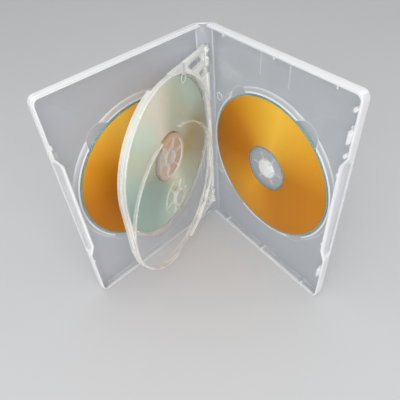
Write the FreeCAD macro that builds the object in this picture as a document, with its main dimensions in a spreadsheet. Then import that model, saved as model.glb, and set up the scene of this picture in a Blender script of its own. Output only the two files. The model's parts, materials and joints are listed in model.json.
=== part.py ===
import FreeCAD, Part
import os
import re

import Sketcher
from FreeCAD import Placement, Rotation, Vector

# Driving dimensions in millimetres and degrees: name, value, meaning
SIZES = (
    ("case_height", 190, "bottom edge to top edge of a cover"),
    ("panel", 1.0, "flat panel of a cover"),
    ("wall", 1.2, "rim walls of the covers and the tray"),
    ("parting_gap", 0.2, "between the two rims when closed"),
    ("corner_radius", 5, "free corners of a cover"),
    ("edge_round", 0.4, "outer edges of a cover"),
    ("open_angle", 41.5, "each cover, from closed to as it stands"),
    ("tray_angle", 23, "tray, from the middle plane towards the left cover"),
    ("hinge_inset", 1.0, "hinge axis inside the outer faces"),
    ("hinge_bead", 0.55, "round bead along a hinge axis"),
    ("hinge_clearance", 0.08, "bead to the back edge of a cover"),
    ("hinge_margin", 3.4, "hinge axis to the well of a cover"),
    ("spine_thickness", 1.0, "back strip"),
    ("spine_bevel", 0.6, "outer edges of the back strip"),
    ("spine_short", 0.4, "covers pass the back strip at each end"),
    ("disc_radius", 60, "disc"),
    ("disc_hole", 7.5, "radius of the disc's centre hole"),
    ("disc_thickness", 1.2, "disc"),
    ("disc_chamfer", 0.15, "edges of a disc"),
    ("stack_ring_radius", 17.2, "stacking ring on the data side, inner edge"),
    ("stack_ring_width", 0.8, "stacking ring"),
    ("stack_ring_height", 0.2, "stacking ring"),
    ("seat_clearance", 1.0, "disc edge to the lip of its well"),
    ("seat_rise", 1.2, "cover panel to the disc"),
    ("well_lip", 0.8, "flat top of the well's ring"),
    ("well_slope", 3.4, "outer slope of the well's ring"),
    ("lip_rise", 0.1, "well's lip above the disc"),
    ("scoop_radius", 12.4, "finger scoop through the well's ring"),
    ("scoop_inset", 5.35, "disc edge to the centre of a scoop"),
    ("scoop_angle", 56, "scoops above and below the middle of the disc"),
    ("grip_gap", 0.4, "well's foot to the grip recess"),
    ("grip_depth", 4.0, "thumb recess in the free edge"),
    ("grip_length", 98, "thumb recess along the free edge"),
    ("grip_lift", 3.4, "middle of the thumb recess above mid-height"),
    ("grip_slope", 8, "sloping ends of the thumb recess"),
    ("grip_floor", 1.4, "flat floor of the thumb recess"),
    ("grip_lip", 0.8, "raised lip along the thumb recess"),
    ("grip_lip_height", 0.8, "that lip above the floor"),
    ("grip_nub", 0.9, "nubs on the inner side of the thumb recess"),
    ("grip_nub_width", 2.2, "those nubs along the wall"),
    ("grip_nub_place", 14.5, "end of the thumb recess to a nub"),
    ("rim_step", 0.35, "outer step along the left cover's rim"),
    ("rim_step_depth", 2.4, "that step below the rim"),
    ("hub_play", 0.2, "hub's fingers to the disc's hole"),
    ("hub_catch", 0.3, "hub's lip over the edge of the disc's hole"),
    ("catch_gap", 0.05, "disc to the hub's lip"),
    ("hub_rise", 0.6, "cover hub above its disc"),
    ("hub_wall", 1.0, "sprung wall under the disc"),
    ("hub_seat", 16.5, "radius of the raised seat"),
    ("hub_foot", 1.5, "slope round the raised seat"),
    ("hub_skirt", 1.0, "wall round the recess behind a hub"),
    ("finger_wall", 1.5, "fingers of a hub"),
    ("slit_width", 0.9, "slits between the sprung tongues"),
    ("slit_count", 6, "slits of a hub"),
    ("slit_margin", 1.2, "end of a slit to the edge of the seat"),
    ("button_clearance", 0.08, "button in the ring of fingers"),
    ("button_flange", 1.2, "flange that keeps the button in"),
    ("flange_thickness", 0.3, "flange of a button"),
    ("button_crown", 0.15, "button above its fingers"),
    ("button_skin", 0.7, "hollow button"),
    ("button_chamfer", 0.4, "edge of a button"),
    ("stack_gap", 0.5, "cover hub to the tray's disc when closed"),
    ("tray_web", 1.0, "middle wall of the tray"),
    ("tray_seat_rise", 0.8, "tray web to its disc"),
    ("tray_hub_rise", 0.5, "tray hub and rim above its disc"),
    ("tray_stagger", 20, "tray seats above and below the middle"),
    ("tray_end_gap", 1.6, "tray to the grip recess when closed"),
    ("finger_gap", 24, "gaps in the tray's rims"),
    ("finger_gap_depth", 5, "height of those gaps"),
    ("arm_depth", 3, "hinge arms across the tray"),
    ("arm_drop", 2.6, "top of the hinge block below the tray's top"),
    ("arm_bar", 2.3, "bar above the long window of an arm"),
    ("post_width", 2.4, "thick post below the small window of an arm"),
    ("post_length", 24, "that post along the hinge side"),
    ("hook_gap", 0.5, "tray hook to the back strip"),
    ("hook_height", 15, "hinge block of an arm"),
    ("pin_radius", 1.3, "pins that carry the tray"),
    ("pin_clearance", 0.05, "pin in its hook"),
    ("pin_short", 0.5, "pin ends inside the hinge block"),
    ("snap_width", 1.9, "mouth of a hook"),
    ("lug_height", 5, "lug that carries the pins"),
    ("lug_clearance", 0.2, "lug in the notch of the hinge block"),
    ("lug_notch", 0.5, "depth of that notch past the pin"),
    ("window_start", 4.4, "hinge axis to the long window"),
    ("window_length", 25, "long window"),
    ("window_height", 7.6, "long window"),
    ("window_slant", 7, "slanting end of the long window"),
    ("small_window_start", 1.6, "hinge axis to the small window"),
    ("small_window_length", 12, "small window"),
    ("small_window_height", 5.9, "small window"),
    ("small_window_slant", 3, "slanting end of the small window"),
    ("window_strut", 4.9, "strut between the two windows"),
    ("nib_height", 1.2, "stop nibs on the hinge block"),
    ("nib_width", 2, "stop nibs up the block"),
    ("nib_length", 2, "stop nibs along the arm"),
    ("nib_start", 0.3, "hinge axis to the nibs"),
    ("nib_top", 2.1, "upper nib below the top of the block"),
    ("nib_spacing", 5.9, "between the two nibs"),
    ("tongue_reach", 2.5, "latch tongues past the rim"),
    ("tongue_thickness", 1.5, "latch tongues and locating pegs"),
    ("tongue_width", 8.6, "latch tongues along the free edge"),
    ("tongue_low", 30.5, "bottom edge of the cover to the lower tongue"),
    ("tongue_high", 22.8, "top edge of the cover to the upper tongue"),
    ("tongue_clearance", 0.2, "latch tongues to the other cover's wall"),
    ("tongue_root", 0.4, "root of a tongue below the rim"),
    ("peg_reach", 2.2, "locating pegs past the rim"),
    ("peg_width", 2.2, "locating pegs along the free edge"),
    ("corner_peg", 8, "top edge of the cover to the peg at the corner"),
    ("grip_peg", 39.4, "top edge of the cover to the peg above the thumb recess"),
    ("eye_radius", 1.2, "guide eye above a tongue"),
    ("eye_wall", 0.45, "guide eye"),
    ("eye_offset", 1.7, "tongue to the middle of its guide eye"),
    ("catch_width", 3, "catch beside a tongue"),
    ("catch_height", 1.0, "catch on the wall"),
    ("catch_offset", 1.3, "tongue to its catch"),
    ("rib_count", 3, "gusset ribs on a wall"),
    ("rib_thickness", 1.0, "gusset ribs"),
    ("rib_height", 2.2, "gusset ribs off the wall"),
    ("rib_short", 0.2, "gusset ribs below the rim"),
    ("rib_start", 19, "hinge axis to the first rib"),
    ("rib_spacing", 49, "between ribs"),
    ("clip_line", 0.8, "raised line of the booklet stop"),
    ("clip_rise", 0.3, "raised line above the panel"),
    ("clip_width", 27, "booklet stop"),
    ("clip_length", 17, "booklet stop"),
    ("clip_top", 4, "booklet stop to the end of the cover"),
    ("overcut", 2, "cuts run past the faces they open"),
)

# Places and fits that follow from the driving dimensions
DERIVED = {
    "tray_disc_top": "tray_web / 2 + tray_seat_rise + disc_thickness",
    "tray_half": "tray_disc_top + tray_hub_rise",
    "disc_top": "panel + seat_rise + disc_thickness",
    "half_thickness": "disc_top + hub_rise + stack_gap + tray_disc_top",
    "cover_depth": "half_thickness - parting_gap / 2",
    "hinge_x": "half_thickness - hinge_inset",
    "cover_back": "hinge_bead + hinge_clearance",
    "lip_radius": "disc_radius + seat_clearance",
    "well_foot": "lip_radius + well_lip + well_slope",
    "disc_u": "hinge_margin + lip_radius",
    "disc_z": "case_height / 2",
    "grip_u": "disc_u + well_foot + grip_gap",
    "reach": "grip_u + grip_depth",
    "inner_reach": "reach - wall",
    "inner_top": "case_height - wall",
    "grip_low": "disc_z + grip_lift - grip_length / 2",
    "grip_high": "disc_z + grip_lift + grip_length / 2",
    "grip_draft": "atan((grip_depth - grip_lip - grip_floor) / (cover_depth - panel))",
    "scoop_place": "disc_radius - scoop_inset",
    "outer_level": "0 - hinge_inset",
    "floor_level": "panel - hinge_inset",
    "seat_level": "panel + seat_rise - hinge_inset",
    "lip_level": "disc_top + lip_rise - hinge_inset",
    "rim_level": "cover_depth - hinge_inset",
    "finger_outer": "disc_hole - hub_play",
    "finger_inner": "finger_outer - finger_wall",
    "catch_radius": "disc_hole + hub_catch",
    "hub_recess": "hub_seat - hub_skirt",
    "button_radius": "finger_inner - button_clearance",
    "tray_axis": "spine_thickness + hook_gap + tray_half",
    "tray_outline": "lip_radius + wall",
    "tray_end": "hinge_inset + grip_u - wall - tray_axis - tray_end_gap",
    "tray_u": "tray_end - tray_outline",
    "stem_u": "tray_u - tray_outline",
    "far_z": "disc_z + tray_stagger",
    "near_z": "disc_z - tray_stagger",
    "tray_top": "far_z + tray_outline",
    "block_high": "tray_top - arm_drop",
    "block_low": "block_high - hook_height",
    "block_mid": "block_high - hook_height / 2",
    "window_top": "block_high - arm_bar",
    "small_window_top": "window_top - window_height - window_strut",
    "post_top": "small_window_top - small_window_height",
    "notch_height": "lug_height + 2 * lug_clearance",
    "tongue_u": "inner_reach - tongue_clearance - tongue_thickness",
    "high_tongue": "case_height - tongue_high - tongue_width",
    "rim_front": "hinge_inset + reach * cos(open_angle) + rim_level * sin(open_angle)",
    "tongue_front": "hinge_inset + (inner_reach - tongue_clearance) * cos(open_angle)"
                    " + (rim_level + tongue_reach) * sin(open_angle)",
    "tray_front": "tray_axis + tray_end * cos(tray_angle) + tray_half * sin(tray_angle)",
    "back_y": "max(rim_front; tongue_front; tray_front) / 2",
}

NAMES = {name for name, _, _ in SIZES}

# Least differences that count: between two points, and for the volume of a cut
SAME_SPOT = 1e-4
LEAST_CUT = 1e-3

doc = FreeCAD.newDocument("dvd_case")
sheet = doc.addObject("Spreadsheet::Sheet", "Sizes")
for row, (name, number, meaning) in enumerate(SIZES, start=1):
    sheet.set(f"A{row}", name)
    sheet.set(f"B{row}", str(number))
    sheet.set(f"C{row}", meaning)
    sheet.setAlias(f"B{row}", name)
doc.recompute()


def bound(text):
    """Expression on the sheet's cells for a text that uses the names above."""

    def swap(match):
        word = match.group(0)
        if word in DERIVED:
            return f"({bound(DERIVED[word])})"
        return f"Sizes.{word}" if word in NAMES else word

    return re.sub(r"[a-z_]+", swap, text)


def value(text):
    return float(sheet.evalExpression(bound(text)))


def bind(item, path, text):
    item.setExpression(path, bound(text))


def new_body(label):
    body = doc.addObject("PartDesign::Body", label)
    body.Label = label
    return body


def place(body, x, y, angle):
    """Stand a body at x, y, turned about the upright through that point."""
    body.Placement = Placement(Vector(), Rotation(Vector(0, 0, 1), 90))
    bind(body, ".Placement.Base.x", x)
    bind(body, ".Placement.Base.y", y)
    bind(body, ".Placement.Rotation.Angle", angle)


def new_sketch(body, name, role, origin=("0", "0", "0")):
    """Sketch on an origin plane of the body, its own origin moved along the sketch's axes."""
    sketch = body.newObject("Sketcher::SketchObject", name)
    plane = [item for item in body.Origin.OriginFeatures if item.Role == role][0]
    sketch.AttachmentSupport = [(plane, "")]
    sketch.MapMode = "FlatFace"
    for axis, text in zip("xyz", origin):
        bind(sketch, f".AttachmentOffset.Base.{axis}", text)
    return sketch


def upright_sketch(body, name, level, side, u="0", z="0"):
    """Sketch in the plane of a panel, at a level on the given side of the axis plane."""
    return new_sketch(body, name, "XZ_Plane", (u, z, f"{-side} * ({level})"))


def pin_point(sketch, geometry, end, spot):
    for kind, text in zip(("DistanceX", "DistanceY"), spot):
        rule = Sketcher.Constraint(kind, -1, 1, geometry, end, value(text))
        bind(sketch, f"Constraints[{sketch.addConstraint(rule)}]", text)


def add_outline(sketch, corners):
    """Closed outline of straight runs through corners given as pairs of texts."""
    first = sketch.GeometryCount
    points = [Vector(value(x), value(y), 0) for x, y in corners]
    count = len(points)
    for i in range(count):
        sketch.addGeometry(Part.LineSegment(points[i], points[(i + 1) % count]))
    for i in range(count):
        following = first + (i + 1) % count
        sketch.addConstraint(Sketcher.Constraint("Coincident", first + i, 2, following, 1))
        pin_point(sketch, first + i, 1, corners[i])


def add_round_end(sketch, x_low, x_high, y_low, y_high, radius, far_side=()):
    """Outline whose two far corners are rounded and whose far side runs through given spots."""
    r = value(radius)
    slant = r * (1 - 2 ** -0.5)
    left, right, bottom, top = (value(text) for text in (x_low, x_high, y_low, y_high))

    def run(start, end):
        return sketch.addGeometry(Part.LineSegment(Vector(*start, 0), Vector(*end, 0)))

    def bend(start, middle, end):
        return sketch.addGeometry(Part.Arc(Vector(*start, 0), Vector(*middle, 0), Vector(*end, 0)))

    near = run((left, top), (left, bottom))
    low = run((left, bottom), (right - r, bottom))
    low_bend = bend((right - r, bottom), (right - slant, bottom + slant), (right, bottom + r))
    stops = [(right, bottom + r)] + [(value(x), value(y)) for x, y in far_side] + [(right, top - r)]
    far = [run(start, end) for start, end in zip(stops, stops[1:])]
    high_bend = bend((right, top - r), (right - slant, top - slant), (right - r, top))
    high = run((right - r, top), (left, top))
    for before, after in ((low, low_bend), (low_bend, far[0]), (far[-1], high_bend), (high_bend, high)):
        sketch.addConstraint(Sketcher.Constraint("Tangent", before, 2, after, 1))
    for before, after in [(high, near), (near, low)] + list(zip(far, far[1:])):
        sketch.addConstraint(Sketcher.Constraint("Coincident", before, 2, after, 1))
    for level in (low, high):
        sketch.addConstraint(Sketcher.Constraint("Horizontal", level))
    for upright in {far[0], far[-1]}:
        sketch.addConstraint(Sketcher.Constraint("Vertical", upright))
    pin_point(sketch, near, 1, (x_low, y_high))
    pin_point(sketch, near, 2, (x_low, y_low))
    for line, spot in zip(far, far_side):
        pin_point(sketch, line, 2, spot)
    for arc in (low_bend, high_bend):
        rule = sketch.addConstraint(Sketcher.Constraint("Radius", arc, r))
        bind(sketch, f"Constraints[{rule}]", radius)


def add_rectangle(sketch, x_low, x_high, y_low, y_high):
    add_outline(sketch, ((x_low, y_low), (x_high, y_low), (x_high, y_high), (x_low, y_high)))


def add_circle(sketch, x, y, radius):
    centre = Vector(value(x), value(y), 0)
    circle = sketch.addGeometry(Part.Circle(centre, Vector(0, 0, 1), value(radius)))
    pin_point(sketch, circle, 3, (x, y))
    rule = sketch.addConstraint(Sketcher.Constraint("Radius", circle, value(radius)))
    bind(sketch, f"Constraints[{rule}]", radius)


def add_stadium(sketch, x, y_low, y_high, radius):
    """Upright outline of two half circles joined by straight sides."""
    r = value(radius)
    low = Vector(value(x), value(y_low), 0)
    high = Vector(value(x), value(y_high), 0)
    step = Vector(r, 0, 0)
    crown = Vector(0, r, 0)
    upper = sketch.addGeometry(Part.Arc(high + step, high + crown, high - step))
    left = sketch.addGeometry(Part.LineSegment(high - step, low - step))
    lower = sketch.addGeometry(Part.Arc(low - step, low - crown, low + step))
    right = sketch.addGeometry(Part.LineSegment(low + step, high + step))
    for run, following in ((upper, left), (left, lower), (lower, right), (right, upper)):
        sketch.addConstraint(Sketcher.Constraint("Tangent", run, 2, following, 1))
    sketch.addConstraint(Sketcher.Constraint("Vertical", left))
    pin_point(sketch, upper, 3, (x, y_high))
    pin_point(sketch, lower, 3, (x, y_low))
    rule = sketch.addConstraint(Sketcher.Constraint("Radius", upper, r))
    bind(sketch, f"Constraints[{rule}]", radius)


def extrude(body, kind, name, sketch, length, reverse=False, symmetric=False):
    feature = body.newObject(f"PartDesign::{kind}", name)
    feature.Profile = sketch
    feature.SideType = "Symmetric" if symmetric else "One side"
    feature.Reversed = reverse
    bind(feature, "Length", length)
    return feature


def pad_inward(body, name, sketch, length, side):
    return extrude(body, "Pad", name, sketch, length, reverse=side > 0)


def cut_inward(body, name, sketch, length, side):
    return extrude(body, "Pocket", name, sketch, length, reverse=side < 0)


def cut_outward(body, name, sketch, length, side):
    return extrude(body, "Pocket", name, sketch, length, reverse=side > 0)


def cut_through(body, name, sketch):
    feature = body.newObject("PartDesign::Pocket", name)
    feature.Profile = sketch
    feature.SideType = "Symmetric"
    feature.Type = "ThroughAll"
    return feature


def turn(body, kind, name, sketch):
    """Whole turn of a profile about the sketch's upright axis."""
    feature = body.newObject(f"PartDesign::{kind}", name)
    feature.Profile = sketch
    feature.ReferenceAxis = (sketch, ["V_Axis"])
    feature.Angle = 360
    return feature


def profile_sketch(body, name, u, z):
    """Sketch of radius and depth through a disc axis at u, z."""
    return new_sketch(body, name, "XY_Plane", (u, "0", z))


def profile(sketch, side, corners):
    add_outline(sketch, [(radius, f"{side} * ({level})") for radius, level in corners])


def round_edges(body, name, base, radius, chosen):
    """Fillet of those edges of the base feature that the test picks."""
    doc.recompute()
    feature = body.newObject("PartDesign::Fillet", name)
    edges = [f"Edge{i}" for i, edge in enumerate(base.Shape.Edges, start=1) if chosen(edge)]
    feature.Base = (base, edges)
    bind(feature, "Radius", radius)
    return feature


def spot_is(point, x=None, y=None, z=None):
    pairs = ((point.x, x), (point.y, y), (point.z, z))
    return all(want is None or abs(have - want) < SAME_SPOT for have, want in pairs)


def edge_at(x=None, y=None, z=None):
    """Test for edges whose ends both lie at the given coordinates."""
    return lambda edge: all(spot_is(vertex.Point, x, y, z) for vertex in edge.Vertexes)


def add_hub(body, side, u, z, back, floor, seat, rise):
    """Raised seat with sprung tongues and a ring of fingers that grips a disc's hole."""
    top = f"{seat} + disc_thickness + {rise}"
    under = f"{seat} - hub_wall"
    catch = f"{seat} + disc_thickness + catch_gap"
    raised = profile_sketch(body, "hub_profile", u, z)
    profile(raised, side, (
        ("finger_inner", floor),
        ("hub_seat + hub_foot", floor),
        ("hub_seat", seat),
        ("finger_outer", seat),
        ("finger_outer", catch),
        ("catch_radius", f"({catch} + {top}) / 2"),
        ("finger_outer", top),
        ("finger_inner", top),
    ))
    turn(body, "Revolution", "hub", raised)
    hollow = profile_sketch(body, "hub_hollow_profile", u, z)
    profile(hollow, side, (
        ("0", f"{back} - overcut"),
        ("hub_recess", f"{back} - overcut"),
        ("hub_recess", under),
        ("finger_inner", under),
        ("finger_inner", f"{top} + overcut"),
        ("0", f"{top} + overcut"),
    ))
    turn(body, "Groove", "hub_hollow", hollow)
    slit = upright_sketch(body, "slit_sketch", "0", side, u, z)
    add_rectangle(slit, "button_radius - overcut", "hub_recess - slit_margin",
                  "0 - slit_width / 2", "slit_width / 2")
    first_slit = cut_through(body, "slit", slit)
    slits = body.newObject("PartDesign::PolarPattern", "slits")
    slits.Originals = [first_slit]
    slits.Axis = (slit, ["N_Axis"])
    slits.Angle = 360
    bind(slits, "Occurrences", "slit_count")
    body.Tip = slits


def add_well(body, side):
    """Ring round a cover's disc, opened by four finger scoops and cut off at the hinge."""
    ring = profile_sketch(body, "well_profile", "disc_u", "disc_z")
    profile(ring, side, (
        ("lip_radius", "floor_level"),
        ("well_foot", "floor_level"),
        ("lip_radius + well_lip", "lip_level"),
        ("lip_radius", "lip_level"),
    ))
    turn(body, "Revolution", "well", ring)
    scoops = upright_sketch(body, "scoop_sketch", "floor_level", side, "disc_u", "disc_z")
    for across in (1, -1):
        for up in (1, -1):
            add_circle(scoops, f"{across} * scoop_place * cos(scoop_angle)",
                       f"{up} * scoop_place * sin(scoop_angle)", "scoop_radius")
    cut_inward(body, "scoops", scoops, "cover_depth", side)
    end = upright_sketch(body, "hinge_end_sketch", "0", side)
    add_rectangle(end, "0 - hinge_margin - overcut", "cover_back", "0 - overcut", "case_height + overcut")
    cut_through(body, "hinge_end", end)


def add_tabs(body, side, name, starts, width, reach):
    """Tabs that stand past the rim inside the free wall, on roots that join them to it."""
    roots = upright_sketch(body, f"{name}_root_sketch", "floor_level", side)
    tabs = upright_sketch(body, f"{name}_sketch", "floor_level", side)
    for low in starts:
        add_rectangle(roots, "tongue_u", "inner_reach", low, f"{low} + {width}")
        add_rectangle(tabs, "tongue_u", "inner_reach - tongue_clearance", low, f"{low} + {width}")
    pad_inward(body, f"{name}_roots", roots, "cover_depth - panel - tongue_root", side)
    pad_inward(body, f"{name}s", tabs, f"cover_depth - panel + {reach}", side)


def add_guide_eyes(body, side):
    """Small tubes against the free wall, above the latch tongues."""
    sketch = upright_sketch(body, "eye_sketch", "floor_level", side)
    for low in ("tongue_low", "high_tongue"):
        spot = ("inner_reach - eye_radius + eye_wall", f"{low} + tongue_width + eye_offset")
        add_circle(sketch, *spot, "eye_radius")
        add_circle(sketch, *spot, "eye_radius - eye_wall")
    pad_inward(body, "guide_eyes", sketch, "cover_depth - panel", side)


def add_catches(body, side):
    """Catches on the free wall, between the other cover's tongues and beside each."""
    sketch = upright_sketch(body, "catch_sketch", "floor_level", side)
    for low in ("tongue_low + tongue_width + catch_offset", "high_tongue - catch_offset - catch_width"):
        add_rectangle(sketch, "inner_reach - catch_height", "inner_reach", low, f"{low} + catch_width")
    pad_inward(body, "catches", sketch, "cover_depth - panel", side)


def add_grip_nubs(body, side):
    """Small nubs on the inner side of the wall along the thumb recess."""
    sketch = upright_sketch(body, "grip_nub_sketch", "floor_level", side)
    for low in ("grip_low + grip_nub_place", "grip_high - grip_nub_place - grip_nub_width"):
        add_rectangle(sketch, "grip_u - wall - grip_nub", "grip_u - wall", low, f"{low} + grip_nub_width")
    pad_inward(body, "grip_nubs", sketch, "cover_depth - panel", side)


def add_rim_step(body, side):
    """Step along the outer side of the rim."""
    sketch = upright_sketch(body, "rim_step_sketch", "rim_level", side)
    add_rectangle(sketch, "0 - 2 * overcut", "reach + overcut", "0 - overcut", "case_height + overcut")
    add_round_end(sketch, "0 - overcut", "reach - rim_step", "rim_step", "case_height - rim_step",
                  "corner_radius - rim_step")
    cut_outward(body, "rim_step", sketch, "rim_step_depth", side)


def add_ribs(body, side):
    """Gusset ribs on the inner faces of the top and bottom walls."""
    sketch = upright_sketch(body, "rib_sketch", "floor_level", side)
    for step in range(int(value("rib_count"))):
        middle = f"rib_start + {step} * rib_spacing"
        low, high = f"{middle} - rib_thickness / 2", f"{middle} + rib_thickness / 2"
        add_rectangle(sketch, low, high, "wall", "wall + rib_height")
        add_rectangle(sketch, low, high, "inner_top - rib_height", "inner_top")
    pad_inward(body, "ribs", sketch, "cover_depth - panel - rib_short", side)


def add_booklet_stop(body, side):
    """Raised line on the panel above the disc, open below."""
    left, right = "disc_u - clip_width / 2", "disc_u + clip_width / 2"
    top = "case_height - clip_top"
    sketch = upright_sketch(body, "booklet_sketch", "floor_level", side)
    add_outline(sketch, (
        (left, f"{top} - clip_length"),
        (left, top),
        (right, top),
        (right, f"{top} - clip_length"),
        (f"{right} - clip_line", f"{top} - clip_length"),
        (f"{right} - clip_line", f"{top} - clip_line"),
        (f"{left} + clip_line", f"{top} - clip_line"),
        (f"{left} + clip_line", f"{top} - clip_length"),
    ))
    pad_inward(body, "booklet_stop", sketch, "clip_rise", side)


def build_cover(label, side):
    """Half shell: panel, rim walls, thumb recess in the free edge, disc well and hub."""
    body = new_body(label)
    outline = upright_sketch(body, "outline", "outer_level", side)
    add_rectangle(outline, "cover_back", "reach", "0", "case_height")
    shell = pad_inward(body, "shell", outline, "cover_depth", side)
    bottom, top, free = 0, value("case_height"), value("reach")
    corner_tests = [edge_at(x=free, z=z) for z in (bottom, top)]
    rounded = round_edges(body, "free_corners", shell, "corner_radius",
                          lambda edge: any(test(edge) for test in corner_tests))
    outer = edge_at(y=side * value("outer_level"))
    hinge = edge_at(x=value("cover_back"))
    round_edges(body, "outer_edges", rounded, "edge_round",
                lambda edge: outer(edge) and not hinge(edge))

    cavity = upright_sketch(body, "cavity_sketch", "rim_level", side)
    add_round_end(cavity, "0 - overcut", "inner_reach", "wall", "inner_top", "corner_radius - wall", (
        ("inner_reach", "grip_low"),
        ("grip_u - wall", "grip_low + grip_slope"),
        ("grip_u - wall", "grip_high - grip_slope"),
        ("inner_reach", "grip_high"),
    ))
    cut_outward(body, "cavity", cavity, "cover_depth - panel", side)
    grip = upright_sketch(body, "grip_sketch", "rim_level", side)
    add_outline(grip, (
        ("reach + grip_depth", "grip_low - grip_slope"),
        ("grip_u", "grip_low + grip_slope"),
        ("grip_u", "grip_high - grip_slope"),
        ("reach + grip_depth", "grip_high + grip_slope"),
    ))
    recess = cut_outward(body, "grip", grip, "cover_depth - panel", side)
    bind(recess, "TaperAngle", "-1 * grip_draft")
    lip = upright_sketch(body, "grip_lip_sketch", "floor_level", side)
    add_rectangle(lip, "reach - grip_lip", "reach", "grip_low", "grip_high")
    pad_inward(body, "grip_lip", lip, "grip_lip_height", side)
    add_well(body, side)
    add_hub(body, side, "disc_u", "disc_z", "outer_level", "floor_level", "seat_level", "hub_rise")
    return body


def build_disc(label, side, u, z, seat):
    """Disc with its hole, broken edges and the stacking ring on its data side."""
    body = new_body(label)
    section = profile_sketch(body, "section", u, z)
    top = f"{seat} + disc_thickness"
    ring_end = "stack_ring_radius + stack_ring_width"
    profile(section, side, (
        ("disc_hole", seat),
        ("stack_ring_radius", seat),
        ("stack_ring_radius", f"{seat} - stack_ring_height"),
        (ring_end, f"{seat} - stack_ring_height"),
        (ring_end, seat),
        ("disc_radius - disc_chamfer", seat),
        ("disc_radius", f"{seat} + disc_chamfer"),
        ("disc_radius", f"{top} - disc_chamfer"),
        ("disc_radius - disc_chamfer", top),
        ("disc_hole", top),
    ))
    turn(body, "Revolution", "disc", section)
    return body


def build_button(label, side, u, z, seat, rise):
    """Hollow press cap inside the ring of fingers, kept in by a flange below the tongues."""
    body = new_body(label)
    section = profile_sketch(body, "section", u, z)
    top = f"{seat} + disc_thickness + {rise} + button_crown"
    flange = f"{seat} - hub_wall - catch_gap"
    low = f"{flange} - flange_thickness"
    rim = "button_radius + button_flange"
    profile(section, side, (
        ("0", f"{top} - button_skin"),
        ("button_radius - button_skin", f"{top} - button_skin"),
        ("button_radius - button_skin", low),
        (rim, low),
        (rim, flange),
        ("button_radius", flange),
        ("button_radius", f"{top} - button_chamfer"),
        ("button_radius - button_chamfer", top),
        ("0", top),
    ))
    turn(body, "Revolution", "button", section)
    return body


def at_end(text, upper):
    """Height of a feature of the upper arm, or of its mirror image on the lower arm."""
    return text if upper else f"case_height - ({text})"


def build_spine():
    """Back strip with a round bead along each hinge, and the lugs and pins of the tray."""
    body = new_body("spine")
    strip = new_sketch(body, "strip_sketch", "XY_Plane", ("0", "0", "spine_short"))
    add_outline(strip, (
        ("0 - hinge_x", "0 - hinge_inset"),
        ("0 - hinge_x", "0 - hinge_inset / 2"),
        ("spine_bevel - hinge_x", "0"),
        ("hinge_x - spine_bevel", "0"),
        ("hinge_x", "0 - hinge_inset / 2"),
        ("hinge_x", "0 - hinge_inset"),
        ("hinge_x - spine_bevel", "0 - spine_thickness"),
        ("spine_bevel - hinge_x", "0 - spine_thickness"),
    ))
    extrude(body, "Pad", "strip", strip, "case_height - 2 * spine_short")
    beads = new_sketch(body, "bead_sketch", "XY_Plane", ("0", "0", "spine_short"))
    for side in (1, -1):
        add_circle(beads, f"{side} * hinge_x", "0 - hinge_inset", "hinge_bead")
    extrude(body, "Pad", "beads", beads, "case_height - 2 * spine_short")
    for upper in (True, False):
        lug_low = "block_mid - lug_height / 2" if upper else "block_mid + lug_height / 2"
        lug = new_sketch(body, "lug_sketch", "XY_Plane", ("0", "0", at_end(lug_low, upper)))
        add_rectangle(lug, "0 - pin_radius", "pin_radius", "0 - tray_axis", "0 - spine_thickness / 2")
        extrude(body, "Pad", "lug", lug, "lug_height")
        pin_low = "block_low + pin_short" if upper else "block_high - pin_short"
        pin = new_sketch(body, "pin_sketch", "XY_Plane", ("0", "0", at_end(pin_low, upper)))
        add_circle(pin, "0", "0 - tray_axis", "pin_radius")
        extrude(body, "Pad", "pin", pin, "hook_height - 2 * pin_short")
    return body


def add_arms(body):
    """Hinge arms in the corners beside the upper and lower seats, each opened by two windows."""
    corner = upright_sketch(body, "arm_sketch", "0", 1)
    posts = upright_sketch(body, "post_sketch", "0", 1)
    windows = upright_sketch(body, "window_sketch", "0", 1)
    nibs = upright_sketch(body, "nib_sketch", "0", 1)
    notches = upright_sketch(body, "notch_sketch", "0", 1)
    for upper in (True, False):
        add_outline(corner, [(u, at_end(z, upper)) for u, z in (
            ("stem_u", "far_z"),
            ("stem_u", "block_high"),
            ("tray_u", "tray_top"),
            ("tray_u", "far_z"),
        )])
        add_rectangle(posts, "stem_u", "stem_u + post_width",
                      at_end("post_top - post_length", upper), at_end("post_top", upper))
        for window in ("window", "small_window"):
            start, top = f"{window}_start", f"{window}_top"
            end, low = f"{start} + {window}_length", f"{top} - {window}_height"
            add_outline(windows, [(u, at_end(z, upper)) for u, z in (
                (start, low),
                (f"{end} - {window}_slant", low),
                (end, top),
                (start, top),
            )])
        upper_nib = "block_high - nib_top + nib_width / 2"
        for nib_high in (upper_nib, f"{upper_nib} - nib_spacing"):
            add_rectangle(nibs, "nib_start", "nib_start + nib_length",
                          at_end(nib_high, upper), at_end(f"{nib_high} - nib_width", upper))
        add_rectangle(notches, "0 - tray_half - overcut", "pin_radius + lug_notch",
                      at_end("block_mid - notch_height / 2", upper),
                      at_end("block_mid + notch_height / 2", upper))
    extrude(body, "Pad", "arms", corner, "arm_depth", symmetric=True)
    extrude(body, "Pad", "posts", posts, "2 * tray_half", symmetric=True)
    return windows, nibs, notches


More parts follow.
